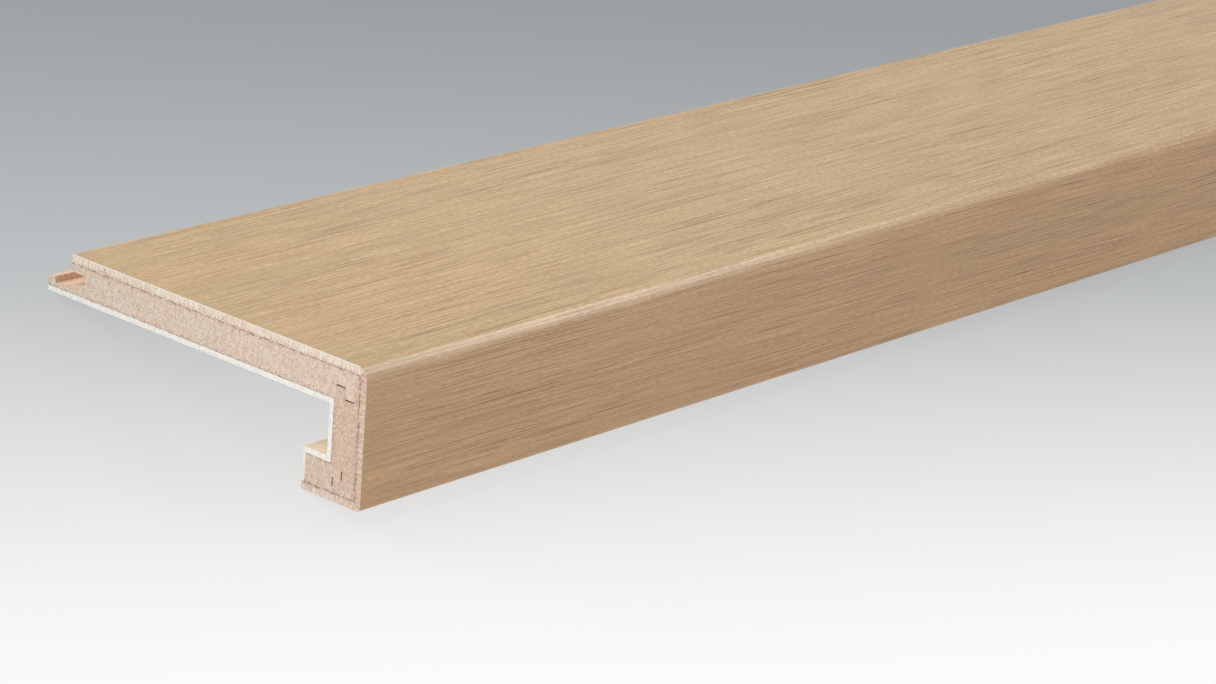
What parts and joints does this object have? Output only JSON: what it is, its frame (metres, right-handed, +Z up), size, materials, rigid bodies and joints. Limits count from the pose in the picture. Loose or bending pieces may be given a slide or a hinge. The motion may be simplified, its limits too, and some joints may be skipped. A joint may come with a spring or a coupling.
{
  "type": "stair nosing",
  "caption": "U-shaped stair nosing folded from three-ply oak floor board, with a rounded nose, a short foot and a click groove along the rear edge.",
  "frame": {"origin": "centre of the bounding box's floor rectangle, with the nosing lying as it comes to rest on the rear edge of its foot and on the tip of its lower lip", "axes": "+X along the nosing, +Y to the rear where the click groove is, +Z up; the tread face is tilted back by about 14.5 degrees because the nosing cannot stand level unheld"},
  "size_m": [1, 0.128, 0.043],
  "materials": {
    "oak_face": "matt lacquered oak, open pores",
    "fibre_core": "sawn dense fibre board, dull",
    "backing_ply": "pale softwood veneer, sanded"
  },
  "bodies": {
    "root": {"tread_face": "oak_face", "tread_core": "fibre_core", "tread_backing": "backing_ply", "front_face": "oak_face", "front_core": "fibre_core", "front_backing": "backing_ply", "foot_face": "oak_face", "foot_core": "fibre_core", "foot_backing": "backing_ply"}
  },
  "joints": []
}
